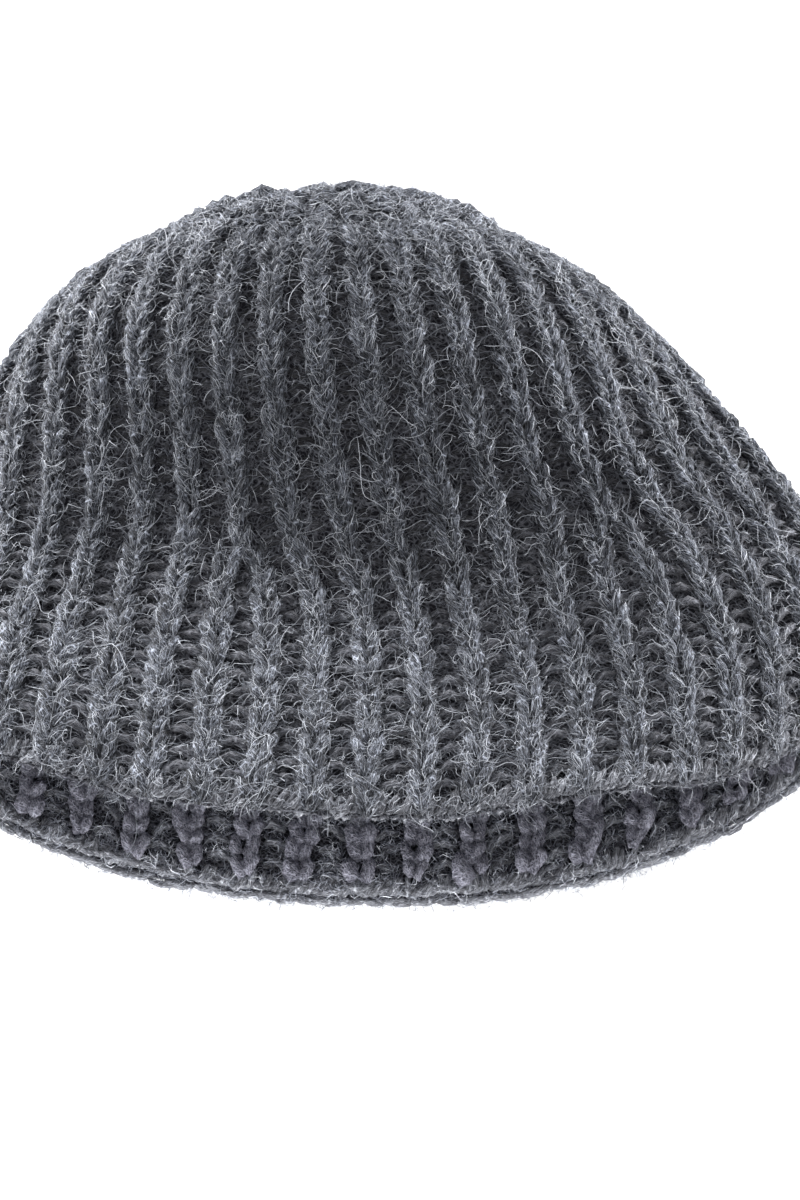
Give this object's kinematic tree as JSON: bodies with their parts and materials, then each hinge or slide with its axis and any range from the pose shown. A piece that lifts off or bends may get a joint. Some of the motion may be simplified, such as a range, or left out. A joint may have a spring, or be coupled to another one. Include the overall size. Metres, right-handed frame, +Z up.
{
  "type": "knit beanie",
  "caption": "Chunky ribbed knit beanie with a gathered crown and a plain cast-on edge, lying on its back with its opening to the front.",
  "frame": {"origin": "middle of the foot of the bounding box, on the surface that the beanie lies on", "axes": "+X to the beanie's right fold, +Y from the opening to the crown, +Z up from the surface it lies on"},
  "size_m": [0.2428, 0.1826, 0.0785],
  "materials": {
    "wool_knit": "matt, hairy grey melange yarn plated over a smooth blue-grey yarn"
  },
  "bodies": {
    "root": {"knit_body": "wool_knit"}
  },
  "joints": []
}
